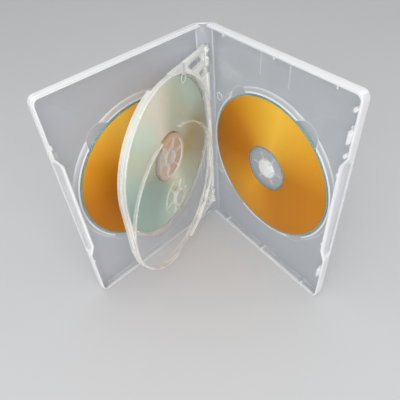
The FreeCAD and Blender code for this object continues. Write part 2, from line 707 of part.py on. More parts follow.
def add_hooks(body):
    """Round hooks on the hinge axis that snap over the spine's pins from the front."""
    for upper in (True, False):
        low = at_end("block_low" if upper else "block_high", upper)
        hook = new_sketch(body, "hook_sketch", "XY_Plane", ("0", "0", low))
        add_circle(hook, "0", "0", "tray_half")
        extrude(body, "Pad", "hook", hook, "hook_height")
    for upper in (True, False):
        low = at_end("block_low" if upper else "block_high", upper)
        bore = new_sketch(body, "bore_sketch", "XY_Plane", ("0", "0", low))
        add_circle(bore, "0", "0", "pin_radius + pin_clearance")
        extrude(body, "Pocket", "bore", bore, "hook_height", reverse=True)
        mouth = new_sketch(body, "mouth_sketch", "XY_Plane", ("0", "0", low))
        add_rectangle(mouth, "0 - tray_half - overcut", "0", "0 - snap_width / 2", "snap_width / 2")
        extrude(body, "Pocket", "mouth", mouth, "hook_height", reverse=True)


def add_seat(body, side, z):
    """One face of the tray: hollowed to the web, with a round rim gapped above and below."""
    depth = "tray_half - tray_web / 2"
    cavity = upright_sketch(body, "cavity_sketch", "tray_half", side)
    add_stadium(cavity, "tray_u", "near_z", "far_z", "lip_radius")
    cut_outward(body, "cavity", cavity, depth, side)
    rim = upright_sketch(body, "rim_sketch", "tray_web / 2", side, "tray_u", z)
    add_circle(rim, "0", "0", "lip_radius")
    add_circle(rim, "0", "0", "tray_outline")
    pad_inward(body, "rim", rim, depth, side)
    gaps = upright_sketch(body, "gap_sketch", "tray_web / 2", side, "tray_u", z)
    for up in (1, -1):
        add_rectangle(gaps, "0 - finger_gap / 2", "finger_gap / 2",
                      f"{up} * (lip_radius - finger_gap_depth)", f"{up} * (tray_outline + overcut)")
    cut_inward(body, "finger_gaps", gaps, depth, side)


def build_tray():
    """Double-sided leaf: the far face holds a disc above the middle, the near face one below it."""
    body = new_body("flip_tray")
    leaf = upright_sketch(body, "leaf_sketch", "0", 1)
    add_stadium(leaf, "tray_u", "near_z", "far_z", "tray_outline")
    extrude(body, "Pad", "leaf", leaf, "2 * tray_half", symmetric=True)
    windows, nibs, notches = add_arms(body)
    add_seat(body, -1, "far_z")
    add_seat(body, 1, "near_z")
    cut_through(body, "windows", windows)
    extrude(body, "Pad", "nibs", nibs, "2 * (tray_half + nib_height)", symmetric=True)
    add_hooks(body)
    cut_through(body, "notches", notches)
    for side, z in ((-1, "far_z"), (1, "near_z")):
        add_hub(body, side, "tray_u", z, "0 - tray_web / 2", "tray_web / 2",
                "tray_web / 2 + tray_seat_rise", "tray_hub_rise")
    return body


def check_document(bodies):
    """Stop where a feature failed, a cut removed nothing or a body isn't one sound solid."""
    for item in doc.Objects:
        if "Invalid" in item.State or "Error" in item.State:
            raise RuntimeError(f"{item.Label} failed")
        if item.TypeId in ("PartDesign::Pocket", "PartDesign::Groove"):
            if item.Shape.Volume > item.BaseFeature.Shape.Volume - LEAST_CUT:
                raise RuntimeError(f"{item.Label} cuts nothing")
    for body in bodies:
        if body.Shape.isNull() or not body.Shape.isValid() or len(body.Shape.Solids) != 1:
            raise RuntimeError(f"{body.Label} is not one sound solid")


spine = build_spine()
left_cover = build_cover("left_cover", 1)
add_catches(left_cover, 1)
add_rim_step(left_cover, 1)
right_cover = build_cover("right_cover", -1)
add_ribs(right_cover, -1)
add_tabs(right_cover, -1, "tongue", ("tongue_low", "high_tongue"), "tongue_width", "tongue_reach")
add_tabs(right_cover, -1, "peg", ("case_height - corner_peg - peg_width", "case_height - grip_peg - peg_width"),
         "peg_width", "peg_reach")
add_guide_eyes(right_cover, -1)
add_grip_nubs(right_cover, -1)
add_booklet_stop(right_cover, -1)
flip_tray = build_tray()

tray_seat = "tray_web / 2 + tray_seat_rise"
on_left = [left_cover,
           build_disc("left_disc", 1, "disc_u", "disc_z", "seat_level"),
           build_button("left_hub_button", 1, "disc_u", "disc_z", "seat_level", "hub_rise")]
on_right = [right_cover,
            build_disc("right_disc", -1, "disc_u", "disc_z", "seat_level"),
            build_button("right_hub_button", -1, "disc_u", "disc_z", "seat_level", "hub_rise")]
on_tray = [flip_tray,
           build_disc("tray_disc", -1, "tray_u", "far_z", tray_seat),
           build_button("tray_far_button", -1, "tray_u", "far_z", tray_seat, "tray_hub_rise"),
           build_button("tray_near_button", 1, "tray_u", "near_z", tray_seat, "tray_hub_rise")]

place(spine, "0", "back_y", "0")
for item in on_left:
    place(item, "0 - hinge_x", "back_y - hinge_inset", "270 - open_angle")
for item in on_right:
    place(item, "hinge_x", "back_y - hinge_inset", "270 + open_angle")
for item in on_tray:
    place(item, "0", "back_y - tray_axis", "270 - tray_angle")

doc.recompute()
sub_parts = [spine] + on_left + on_right + on_tray
check_document(sub_parts)
os.makedirs("parts", exist_ok=True)
for item in sub_parts:
    item.Shape.exportStep(f"parts/{item.Label}.step")
    print(item.Label, round(item.Shape.Volume, 1), item.Shape.BoundBox)
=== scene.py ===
# Frosted case for several discs, standing open like a book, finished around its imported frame
import json
from math import cos, pi, radians, sin
from typing import NamedTuple

import bmesh
import bpy
from mathutils import Matrix, Vector


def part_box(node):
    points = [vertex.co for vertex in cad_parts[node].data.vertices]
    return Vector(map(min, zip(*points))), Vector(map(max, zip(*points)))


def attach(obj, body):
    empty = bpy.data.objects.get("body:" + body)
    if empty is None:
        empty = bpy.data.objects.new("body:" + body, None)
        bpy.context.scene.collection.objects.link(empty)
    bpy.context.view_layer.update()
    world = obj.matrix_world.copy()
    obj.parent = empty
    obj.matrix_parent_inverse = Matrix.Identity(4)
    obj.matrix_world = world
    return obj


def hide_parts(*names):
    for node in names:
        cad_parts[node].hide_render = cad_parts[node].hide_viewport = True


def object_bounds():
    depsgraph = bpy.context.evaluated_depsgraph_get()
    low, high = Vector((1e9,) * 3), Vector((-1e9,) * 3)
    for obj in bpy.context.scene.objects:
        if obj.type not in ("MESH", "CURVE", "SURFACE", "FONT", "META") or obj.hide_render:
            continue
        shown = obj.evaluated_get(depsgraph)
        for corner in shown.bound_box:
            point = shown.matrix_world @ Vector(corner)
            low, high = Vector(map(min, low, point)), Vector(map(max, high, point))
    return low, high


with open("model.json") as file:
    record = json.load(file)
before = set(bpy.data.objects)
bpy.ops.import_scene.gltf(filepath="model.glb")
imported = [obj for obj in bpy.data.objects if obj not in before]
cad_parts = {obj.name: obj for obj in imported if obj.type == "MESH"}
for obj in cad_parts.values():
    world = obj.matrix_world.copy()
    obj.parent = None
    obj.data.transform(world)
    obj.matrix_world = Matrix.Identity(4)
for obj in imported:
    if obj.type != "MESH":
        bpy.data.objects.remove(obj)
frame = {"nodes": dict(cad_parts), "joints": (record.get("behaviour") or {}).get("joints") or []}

cad_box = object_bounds()
scene = bpy.context.scene
MM = 0.001
CASE_HEIGHT = cad_box[1].z

# Sizes of the covers that the frame does not state
HINGE_INSET = 1.0 * MM
PANEL = 1.0 * MM
PANEL_LEVEL = PANEL - HINGE_INSET
COVER_DEPTH = 6.9 * MM
COVER_REACH = 134.0 * MM
WALL = 1.2 * MM
WALL_FADE = 1.6 * WALL
WALL_FULL = 0.9 * WALL
GRIP_START = 128.4 * MM
GRIP_LOW = 49.4 * MM
GRIP_HIGH = 147.4 * MM

# Sizes of the disc wells, the hubs and the tray, as distances from the middle of a disc where they are round
SEAT_REACH = 61.0 * MM
WELL_LIP = 0.8 * MM
LIP_END = SEAT_REACH + WELL_LIP
WELL_SLOPE = 3.4 * MM
SLOPE_END = LIP_END + 0.8 * WELL_SLOPE
FOOT_START = LIP_END + 0.78 * WELL_SLOPE
FOOT_END = LIP_END + 0.96 * WELL_SLOPE
SCOOP_RADIUS = 12.4 * MM
SCOOP_PLACE = 54.65 * MM
SCOOP_ANGLE = radians(56)
FINGER_REACH = 8.8 * MM
HUB_REACH = 19.0 * MM
TRAY_WEB = 1.0 * MM
BEAD_WIDTH = 1.2 * MM

# Sizes of a disc and its layers
DISC_THICKNESS = 1.2 * MM
DISC_HOLE = 7.5 * MM
LABEL_INNER = 19.1 * MM
LABEL_OUTER = 59.0 * MM
MIRROR_INNER = 19.5 * MM
BAND_INNER = 18.0 * MM
DISC_ROUND = 0.15 * MM
FOIL = 0.03 * MM
FOIL_ROUND = FOIL / 3
DISC_LIFT = 0.02 * MM
STACK_RING_INNER = 17.2 * MM
STACK_RING_OUTER = 18.0 * MM
STACK_RING_HEIGHT = 0.18 * MM

# Making of the meshes
SAME_POINT = 0.001 * MM
SAME_FACE = radians(0.5)
EDGE_BREAK = 0.16 * MM
EDGE_STEPS = 2
EDGE_ANGLE = radians(28)
RING_STEPS = 160
ROUND_STEPS = 3
RING_SHARP = radians(30)

# Painted highlights along edges: how far they reach, and the turn of the surface between an open face and an
# edge
EDGE_LIGHT = 0.7 * MM
HUB_EDGE_LIGHT = 1.1 * MM
EDGE_SAMPLES = 6
OPEN_FACE = 0.99
SHARP_EDGE = 0.88

# White shares, from 0 for thin plastic to 1 for a thick wall, some of them painted highlights, and the margin
# over which they fade
SOFT = 0.3 * MM
FREE_EDGE_WHITE = 0.7
LOW_EDGE_WHITE = 0.25
GRIP_WHITE = 0.42
# The next four are painted highlights: the foot of the well's slope, the slope, the scoops' outlines and the
# panel's edges
FOOT_HIGHLIGHT = 0.6
SLOPE_HIGHLIGHT = (0.02, 0.2)
SCOOP_HIGHLIGHT = 0.6
PANEL_EDGE_HIGHLIGHT = 0.5
STREAK_WHITE = 0.3
BEAD_WHITE = 0.5
WEB_LINE_WHITE = 0.75
FAR_HUB_WHITE = 0.22
RIM_WHITE = (0.28, 0.5)

# Where the white shares start and where they are full, on the covers and the spine, and then on the tray
GRIP_EDGE = (GRIP_START - 0.4 * MM, GRIP_START)
STANDS_UP = (PANEL_LEVEL + 1.5 * MM, COVER_DEPTH - HINGE_INSET)
ABOVE_PANEL = (PANEL_LEVEL + 0.04 * MM, PANEL_LEVEL + 0.1 * MM)
INNER_FACE = (PANEL_LEVEL - 0.5 * PANEL, PANEL_LEVEL - 0.3 * PANEL)
LOWER_END = (10 * MM, 4 * MM)
BELOW_SPINE_TOP = (0.8 * MM, 0.4 * MM)
ARMS = (38.0 * MM, 30.0 * MM)
WEB_FACE = (0.4 * TRAY_WEB, 0.6 * TRAY_WEB)
WEB_FADE = 0.2 * MM
OFF_WEB = (0.7 * TRAY_WEB, 1.4 * TRAY_WEB)
RIM_UPPER = (0.70 * CASE_HEIGHT, 0.86 * CASE_HEIGHT)
RIM_LOWER = (0.35 * CASE_HEIGHT, 0.22 * CASE_HEIGHT)

# Streaks of the plastic's flow: patches to a metre in three directions, and the part of them that shows
STREAK_PATCHES = (18, 18, 55)
STREAK_DETAIL = 3.0
STREAK_SWIRL = 1.2
STREAK_SHOWS = (0.45, 0.75)

# Camera, fitted to the case as it stands
CAMERA_PLACE = Vector((25.96, -240.70, 304.55)) * MM
CAMERA_AZIMUTH = radians(7.46)
CAMERA_ELEVATION = radians(44.13)
CAMERA_ROLL = radians(-4.80)
CAMERA_LENS = 37.01
CAMERA_NEAR = 0.01
SENSOR = 36.0

# Studio: floor, pale surround, and soft lights as name, place, width and power
FLOOR_HALF = 4.0
FLOOR_DROP = 0.05 * MM
FLOOR_PATCHES = 3.0
FLOOR_TONES = ((0.56, 0.56, 0.565, 1), (0.60, 0.60, 0.605, 1))
FLOOR_ROUGHNESS = 0.8
FLOOR_UNEVEN = 0.1
FLOOR_GLOSS = 0.15
SURROUND_COLOUR = (0.92, 0.94, 0.96, 1)
SURROUND_STRENGTH = 0.72
LIGHT_AIM = Vector((0, 0, 0.09))
SOFT_LIGHTS = (
    ("overhead", (-0.10, -0.25, 0.95), 0.9, 1.8),
    ("right_fill", (0.55, -0.85, 0.55), 0.7, 3.1),
    ("left_fill", (-0.25, -1.00, 0.50), 0.7, 5.0),
)


def paint(red, green, blue):
    """Linear colour of a tone given as screen values from 0 to 255."""
    return tuple(((c / 255 + 0.055) / 1.055) ** 2.4 for c in (red, green, blue))


class Look(NamedTuple):
    """Plastic: colour, roughness and how uneven it is, light let through, share not seen straight through."""
    colour: tuple
    roughness: float
    uneven: float
    through: float
    solid: float


class Moulding(NamedTuple):
    """Frosted plastic: its thin and thick looks, its clouds and the grain of its mould."""
    thin: Look
    thick: Look
    patches: float
    detail: float
    swirl: float
    clouding: float
    grain_size: float
    grain_height: float


class Face(NamedTuple):
    """Printed or recorded face of a disc: its speckle and its gloss."""
    patches: float
    roughness: float
    uneven: float
    metal: float
    gloss: float


class Ring(NamedTuple):
    """Ring: its radii, its two faces along its axis and the rounding of its edges."""
    inner: float
    outer: float
    low: float
    high: float
    edge_round: float


# Round marks that the mould leaves, near white as a painted highlight: their size, and their places as reach
# from the hinge and height
MARK_RING = Ring(inner=2.6 * MM, outer=3.5 * MM, low=-FOIL, high=0.3 * MM, edge_round=FOIL)
PANEL_MARKS = ((6.5 * MM, 133.0 * MM), (6.5 * MM, 57.0 * MM))
TRAY_MARKS = ((34.8 * MM, 165.7 * MM),)

# Frosted covers and spine, and the clearer tray
FROSTED = Moulding(
    thin=Look((0.68, 0.71, 0.75), 0.24, 0.12, 0.74, 0.86),
    thick=Look((0.93, 0.935, 0.94), 0.32, 0.10, 0.2, 1.0),
    patches=26.0, detail=4.0, swirl=0.8, clouding=0.1, grain_size=0.5 * MM, grain_height=0.02 * MM)
CLEAR = Moulding(
    thin=Look((0.95, 0.97, 0.95), 0.06, 0.06, 0.9, 0.15),
    thick=Look((0.96, 0.96, 0.92), 0.22, 0.10, 0.2, 1.0),
    patches=30.0, detail=3.0, swirl=0.0, clouding=0.06, grain_size=0.6 * MM, grain_height=0.01 * MM)
GRAIN_STRENGTH = 0.25
POLYPROPYLENE_IOR = 1.49

# Broken edges, painted near white as a painted highlight, and press caps
BRIGHT_EDGE_HIGHLIGHT = Look((0.96, 0.965, 0.97), 0.16, 0.12, 0.2, 1.0)
CREAM_EDGE_HIGHLIGHT = Look((0.96, 0.955, 0.92), 0.16, 0.12, 0.25, 1.0)
EDGE_PATCHES = 80.0
WHITE_CAP = Look((0.95, 0.95, 0.93), 0.3, 0.1, 0.2, 1.0)
CLEAR_CAP = Look((0.95, 0.95, 0.93), 0.3, 0.1, 0.7, 0.6)
CAP_SHADE = (0.88, 0.88, 0.86)
CAP_PATCHES = 300.0
CAP_DETAIL = 3.0

# Polished layers of a disc
DISC_CLEAR = Look((0.90, 0.96, 0.96), 0.02, 0.04, 1.0, 0.10)
TINTED_RIM = Look(paint(160, 212, 212), 0.02, 0.04, 0.6, 0.9)
PALE_RIM = Look(paint(216, 230, 216), 0.02, 0.04, 0.6, 0.7)
TINTED_BAND = Look(paint(132, 164, 168), 0.02, 0.04, 0.6, 0.5)
# The stack ring's pale white is a painted highlight on clear plastic
STACK_RING_HIGHLIGHT = Look(paint(236, 240, 238), 0.02, 0.04, 0.4, 0.6)
POLYCARBONATE_IOR = 1.58
HAZE_PATCHES = 120.0

# Printed and recorded faces of a disc, and their tones, whose lighter and darker shades make a painted sheen
PRINTED = Face(patches=1500.0, roughness=0.36, uneven=0.12, metal=0.2, gloss=0.2)
RECORDED = Face(patches=400.0, roughness=0.38, uneven=0.06, metal=0.12, gloss=0.5)
DEEP_ORANGE = paint(188, 116, 20)
ORANGE = paint(200, 126, 25)
WARM_ORANGE = paint(226, 160, 42)
GOLD = paint(249, 194, 68)
PALE_GOLD = paint(255, 216, 94)
WARM_SILVER = paint(180, 180, 140)
SEA_SILVER = paint(154, 186, 172)
SILVER = paint(200, 222, 204)
BRIGHT_SILVER = paint(234, 252, 232)
GLINT = paint(252, 255, 246)

# Painted sheen: lighter and darker rays round a disc from its left, seen on its label side: share of a turn
# against the clock, and tone
LEFT_PAINTED_SHEEN = (
    (0.00, ORANGE), (0.06, DEEP_ORANGE), (0.22, DEEP_ORANGE), (0.36, ORANGE), (0.52, WARM_ORANGE),
    (0.66, GOLD), (0.79, PALE_GOLD), (0.85, GOLD), (0.91, WARM_ORANGE), (1.00, ORANGE),
)
RIGHT_PAINTED_SHEEN = (
    (0.00, DEEP_ORANGE), (0.17, WARM_ORANGE), (0.30, ORANGE), (0.52, ORANGE), (0.62, WARM_ORANGE),
    (0.72, GOLD), (0.82, WARM_ORANGE), (0.89, ORANGE), (0.95, DEEP_ORANGE), (1.00, DEEP_ORANGE),
)
SILVER_PAINTED_SHEEN = (
    (0.00, WARM_SILVER), (0.06, WARM_SILVER), (0.16, SILVER), (0.21, BRIGHT_SILVER), (0.27, SILVER),
    (0.35, SEA_SILVER), (0.47, SEA_SILVER), (0.55, SILVER), (0.66, BRIGHT_SILVER), (0.72, GLINT),
    (0.80, SILVER), (0.92, SILVER), (1.00, WARM_SILVER),
)


class Leaf:
    """Frame of a leaf on an upright hinge: x away from the hinge, y across the leaf, z up."""

    def __init__(self, joint_name, disc=None, closed=False):
        joint = [item for item in frame["joints"] if item["name"] == joint_name][0]
        swing = joint["axis"][2]
        self.body = joint["child"]
        self.disc = disc
        self.side = -swing
        opened = 0 if closed else -joint["range_deg"][0]
        self.angle = radians(-90 + swing * opened)
        self.hinge = Vector((joint["pos_m"][0], joint["pos_m"][1], 0))
        self.along = Vector((cos(self.angle), sin(self.angle), 0))
        self.across = self.side * Vector((-sin(self.angle), cos(self.angle), 0))

    def middle_of(self, node):
        """Middle of a node in the leaf's frame, with no regard to its level."""
        low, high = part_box(node)
        middle = (low + high) / 2
        return (middle - self.hinge).dot(self.along), 0, middle.z


# The spine is finished in the frame of the tray as it lies in the closed case
LEFT = Leaf("left_cover_hinge", "left_disc")
RIGHT = Leaf("right_cover_hinge", "right_disc")
TRAY = Leaf("tray_hinge", "tray_disc")
SPINE = Leaf("tray_hinge", closed=True)


class Wire:
    """Socket of a node tree that takes part in sums: each sum adds a Math node to the tree."""

    def __init__(self, tree, socket=None):
        self.tree = tree
        self.socket = socket

    def node(self, kind, settings=None, sockets=None, output=0):
        """New node with its settings, then the values or links of its sockets."""
        item = self.tree.nodes.new(kind)
        for name, setting in (settings or {}).items():
            if name == "stops":
                fill_ramp(item.color_ramp.elements, setting)
            else:
                setattr(item, name, setting)
        for name, given in (sockets or {}).items():
            if isinstance(given, Wire):
                self.tree.links.new(given.socket, item.inputs[name])
            else:
                item.inputs[name].default_value = given
        return Wire(self.tree, item.outputs[output] if item.outputs else None)

    def math(self, operation, first, second=0.0):
        return self.node("ShaderNodeMath", {"operation": operation}, {0: first, 1: second})

    def vector(self, operation, first, second=(0, 0, 0), output=0):
        return self.node("ShaderNodeVectorMath", {"operation": operation}, {0: first, 1: second}, output)

    def split(self):
        """The three parts of a vector."""
        parts = self.node("ShaderNodeSeparateXYZ", sockets={"Vector": self})
        return [Wire(self.tree, socket) for socket in parts.socket.node.outputs]

    def most(self, *others):
        """Largest of several values."""
        found = self
        for other in others:
            found = self.math("MAXIMUM", found, other)
        return found

    def least(self, *others):
        """Smallest of several values."""
        found = self
        for other in others:
            found = self.math("MINIMUM", found, other)
        return found

    def __add__(self, other):
        return self.math("ADD", self, other)

    __radd__ = __add__

    def __sub__(self, other):
        return self.math("SUBTRACT", self, other)

    def __rsub__(self, other):
        return self.math("SUBTRACT", other, self)

    def __mul__(self, other):
        return self.math("MULTIPLY", self, other)

    __rmul__ = __mul__

    def __truediv__(self, other):
        return self.math("DIVIDE", self, other)

    def __rtruediv__(self, other):
        return self.math("DIVIDE", other, self)


def fill_ramp(elements, stops):
    """Stops of a colour ramp, as pairs of place and colour."""
    while len(elements) < len(stops):
        elements.new(1.0)
    for element, (place, colour) in zip(elements, stops):
        element.position = place
        element.color = (*colour, 1.0)


def new_finish(name):
    """Empty node material and the wire that builds it."""
    material = bpy.data.materials.new(name)
    material.use_nodes = True
    material.node_tree.nodes.clear()
    return material, Wire(material.node_tree)


def close_finish(wire, shader):
    wire.node("ShaderNodeOutputMaterial", sockets={"Surface": shader})


def own_spot(wire):
    """Object coordinates of a piece."""
    return wire.node("ShaderNodeTexCoord", output="Object")


def turned_spot(wire, place, turn):
    """Object coordinates in a frame that is set at a place and turned."""
    return wire.node("ShaderNodeMapping", {"vector_type": "TEXTURE"},
                     {"Vector": own_spot(wire), "Location": place, "Rotation": turn})


def mottle(wire, spot, patches, detail=2.0, swirl=0.0):
    """Soft uneven pattern with about so many patches to a metre."""
    return wire.node("ShaderNodeTexNoise", sockets={
        "Vector": spot, "Scale": patches, "Detail": detail, "Distortion": swirl})


def mixed_colour(wire, share, first, second):
    return wire.node("ShaderNodeMix", {"data_type": "RGBA"},
                     {"Factor": share, "A": first, "B": second}, output=2)


def ramp_value(wire, given, low, high, out_low=0.0, out_high=1.0):
    """Smooth step of a value from one range to another."""
    return wire.node("ShaderNodeMapRange", {"interpolation_type": "SMOOTHSTEP"},
                     {"Value": given, "From Min": low, "From Max": high,
                      "To Min": out_low, "To Max": out_high})


def band(wire, given, low, high, soft):
    """Share that is 1 between two values and fades over a soft margin outside them."""
    return ramp_value(wire, given, low - soft, low).least(ramp_value(wire, given, high + soft, high))


def flat_spot(wire, spot):
    """Place on a leaf with no regard to its level."""
    return wire.vector("MULTIPLY", spot, (1, 0, 1))


def distance(wire, spot, leaf, node):
    """Distance on a leaf from the middle of a node."""
    return wire.vector("DISTANCE", flat_spot(wire, spot), leaf.middle_of(node), output="Value")


def painted_edge_highlight(wire, reach):
    """Painted highlight along edges and creases: 1 along them and 0 on the open faces."""
    rounded = wire.node("ShaderNodeBevel", {"samples": EDGE_SAMPLES}, {"Radius": reach})
    plain = wire.node("ShaderNodeNewGeometry", output="Normal")
    turn = wire.math("ABSOLUTE", wire.vector("DOT_PRODUCT", rounded, plain, output="Value"))
    return ramp_value(wire, turn, OPEN_FACE, SHARP_EDGE)


def plastic(wire, look, cloud, ior=POLYPROPYLENE_IOR, **more):
    """Shader of a plastic whose gloss a cloud makes uneven."""
    colour = look.colour if isinstance(look.colour, Wire) else (*look.colour, 1)
    return wire.node("ShaderNodeBsdfPrincipled", sockets={
        "Base Color": colour, "Roughness": look.roughness + cloud * look.uneven, "IOR": ior,
        "Transmission Weight": look.through, "Alpha": look.solid, **more})


def moulded_finish(name, leaf, moulding, white_share):
    """Frosted plastic: it lets light through where it is thin, and looks white where it is thick."""
    material, wire = new_finish(name)
    spot = turned_spot(wire, leaf.hinge, (0, 0, leaf.angle))
    cloud = mottle(wire, spot, moulding.patches, moulding.detail, moulding.swirl)
    grain = mottle(wire, spot, 1 / moulding.grain_size)
    normal = wire.node("ShaderNodeBump", sockets={
        "Height": grain, "Strength": GRAIN_STRENGTH, "Distance": moulding.grain_height})
    thin = plastic(wire, moulding.thin, cloud, Normal=normal)
    thick = plastic(wire, moulding.thick, cloud, Normal=normal)
    share = white_share(wire, spot, leaf) * (1 - moulding.clouding) + cloud * moulding.clouding
    close_finish(wire, wire.node("ShaderNodeMixShader", sockets={0: share, 1: thin, 2: thick}))
    return material


def wall_white(wire, along, up):
    """White share of a cover's outer walls and of the thumb recess in its free edge."""
    free = ramp_value(wire, along, COVER_REACH - WALL_FADE, COVER_REACH - WALL_FULL) * FREE_EDGE_WHITE
    low = ramp_value(wire, up, WALL_FADE, WALL_FULL) * LOW_EDGE_WHITE
    high = ramp_value(wire, up, CASE_HEIGHT - WALL_FADE, CASE_HEIGHT - WALL_FULL)
    beside_grip = ramp_value(wire, along, *GRIP_EDGE)
    grip = beside_grip.least(band(wire, up, GRIP_LOW, GRIP_HIGH, MM)) * GRIP_WHITE
    return free.most(low, high, grip)


def well_lip_and_highlight(wire, from_hub, off_disc, level):
    """White share of the ring round a disc: its lip, and painted highlights on its slope and along the foot
    of the slope.
    """
    lip = band(wire, from_hub, SEAT_REACH - SOFT, LIP_END + SOFT, SOFT)
    foot = band(wire, from_hub, FOOT_START, FOOT_END, SOFT) * FOOT_HIGHLIGHT
    slope = ramp_value(wire, from_hub, LIP_END, SLOPE_END, *SLOPE_HIGHLIGHT) * off_disc
    return lip.most(foot, slope).least(ramp_value(wire, level, *ABOVE_PANEL))


def scoop_outline_highlight(wire, spot, leaf, off_disc, level):
    """Painted highlight along the outlines of the four finger scoops, on the inner face of a cover."""
    centre = (SCOOP_PLACE * cos(SCOOP_ANGLE), 0, SCOOP_PLACE * sin(SCOOP_ANGLE))
    from_middle = wire.vector("SUBTRACT", flat_spot(wire, spot), leaf.middle_of(leaf.disc))
    from_scoop = wire.vector("DISTANCE", wire.vector("ABSOLUTE", from_middle), centre, output="Value")
    outline = band(wire, from_scoop, SCOOP_RADIUS - SOFT, SCOOP_RADIUS, SOFT)
    return outline * off_disc * ramp_value(wire, level, *INNER_FACE) * SCOOP_HIGHLIGHT


def cover_edge_highlight(wire, from_hub, level, up):
    """Painted highlight along a cover's edges: more on what stands up, near the lower end and at the hub's
    slits.
    """
    from_panel = wire.math("ABSOLUTE", level - PANEL_LEVEL)
    standing = ramp_value(wire, from_panel, SOFT, MM, PANEL_EDGE_HIGHLIGHT, 1.0)
    edges = painted_edge_highlight(wire, EDGE_LIGHT) * standing.most(ramp_value(wire, up, *LOWER_END))
    near_hub = ramp_value(wire, from_hub, HUB_REACH, HUB_REACH - MM)
    slits = painted_edge_highlight(wire, HUB_EDGE_LIGHT) * near_hub
    return edges.most(slits)


def streak_white(wire, spot, along):
    """White share of the streaks that the plastic's flow leaves, on the half beside the hinge."""
    stretched = wire.vector("MULTIPLY", spot, STREAK_PATCHES)
    flow = mottle(wire, stretched, 1.0, STREAK_DETAIL, STREAK_SWIRL)
    beside_hinge = ramp_value(wire, along, COVER_REACH / 2, 0.0)
    return ramp_value(wire, flow, *STREAK_SHOWS) * beside_hinge * STREAK_WHITE


def cover_white(wire, spot, leaf):
    """White share of a cover: walls, disc well, hub fingers and whatever stands up from the panel, and
    painted highlights along its edges, on the well's slope and foot and round the scoops.
    """
    along, across, up = spot.split()
    level = across * leaf.side
    from_hub = distance(wire, spot, leaf, leaf.disc)
    off_disc = ramp_value(wire, from_hub, SEAT_REACH, SEAT_REACH + MM)
    fingers = ramp_value(wire, from_hub, FINGER_REACH, FINGER_REACH - SOFT)
    stands = ramp_value(wire, level, *STANDS_UP) * off_disc
    return wall_white(wire, along, up).most(
        fingers, stands, well_lip_and_highlight(wire, from_hub, off_disc, level),
        scoop_outline_highlight(wire, spot, leaf, off_disc, level),
        cover_edge_highlight(wire, from_hub, level, up), streak_white(wire, spot, along))


def spine_white(wire, spot, leaf):
    """White share of the spine: its upper end and the beads along its two hinges, and a painted highlight
    along its edges.
    """
    across, up = spot.split()[1:]
    bead_place = abs(LEFT.hinge.x)
    from_middle = wire.math("ABSOLUTE", across)
    beads = ramp_value(wire, from_middle, bead_place - BEAD_WIDTH, bead_place) * BEAD_WHITE
    top_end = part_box("spine")[1].z
    top = ramp_value(wire, up, *(top_end - below for below in BELOW_SPINE_TOP))
    return top.most(beads, painted_edge_highlight(wire, EDGE_LIGHT))


def tray_white(wire, spot, leaf):
    """White share of the tray: its arms, its rims, the lines along its web and the far hub, and a painted
    highlight along its edges.
    """
    along, across, up = spot.split()
    from_far = distance(wire, spot, leaf, leaf.disc)
    from_seats = from_far.least(distance(wire, spot, leaf, "tray_near_button"))
    beyond = ramp_value(wire, from_seats, SEAT_REACH - SOFT, SEAT_REACH + SOFT)
    arms = beyond * ramp_value(wire, along, *ARMS)
    from_web = wire.math("ABSOLUTE", across)
    rims = ramp_value(wire, from_web, *OFF_WEB) * ramp_value(wire, from_seats, HUB_REACH, HUB_REACH + MM)
    milky = ramp_value(wire, up, *RIM_UPPER, *RIM_WHITE).most(ramp_value(wire, up, *RIM_LOWER, *RIM_WHITE))
    web_lines = band(wire, from_web, *WEB_FACE, WEB_FADE) * beyond * WEB_LINE_WHITE
    far_hub = ramp_value(wire, from_far, HUB_REACH, HUB_REACH - MM) * FAR_HUB_WHITE
    return arms.most(beyond * milky, rims * milky, web_lines, far_hub, painted_edge_highlight(wire, EDGE_LIGHT))


def plain_finish(name, look, ior, patches):
    """Plastic of one colour, with soft patches in its gloss."""
    material, wire = new_finish(name)
    close_finish(wire, plastic(wire, look, mottle(wire, own_spot(wire), patches), ior))
    return material


def highlight_edge_finish(name, look):
    """Broken edges, painted near white as a painted highlight."""
    return plain_finish(name, look, POLYPROPYLENE_IOR, EDGE_PATCHES)


def disc_finish(name, look):
    """Polished layer of a disc."""
    return plain_finish(name, look, POLYCARBONATE_IOR, HAZE_PATCHES)


def cap_finish(name, look):
    """Frosted press cap with a slightly uneven colour."""
    material, wire = new_finish(name)
    cloud = mottle(wire, own_spot(wire), CAP_PATCHES, CAP_DETAIL)
    colour = mixed_colour(wire, cloud, (*CAP_SHADE, 1), (*look.colour, 1))
    close_finish(wire, plastic(wire, look._replace(colour=colour), cloud))
    return material


def sheen_painted_finish(name, seat, face, sheen_stops):
    """Face of a disc, with a painted sheen brighter and darker round its axis."""
    material, wire = new_finish(name)
    spot = turned_spot(wire, seat.translation, tuple(seat.to_euler("XYZ")))
    across, up = spot.split()[:2]
    turn_share = wire.math("ARCTAN2", up, across) / (2 * pi) + 0.5
    colour = wire.node("ShaderNodeValToRGB", {"stops": sheen_stops}, {"Fac": turn_share})
    speckle = mottle(wire, spot, face.patches)
    close_finish(wire, wire.node("ShaderNodeBsdfPrincipled", sockets={
        "Base Color": colour, "Roughness": face.roughness + speckle * face.uneven,
        "Metallic": face.metal, "Specular IOR Level": face.gloss}))
    return material


def link_piece(name, mesh):
    piece = bpy.data.objects.new(name, mesh)
    scene.collection.objects.link(piece)
    return piece


def plain_mesh(piece):
    """Plain mesh of a piece as its modifiers leave it."""
    graph = bpy.context.evaluated_depsgraph_get()
    return bpy.data.meshes.new_from_object(piece.evaluated_get(graph))


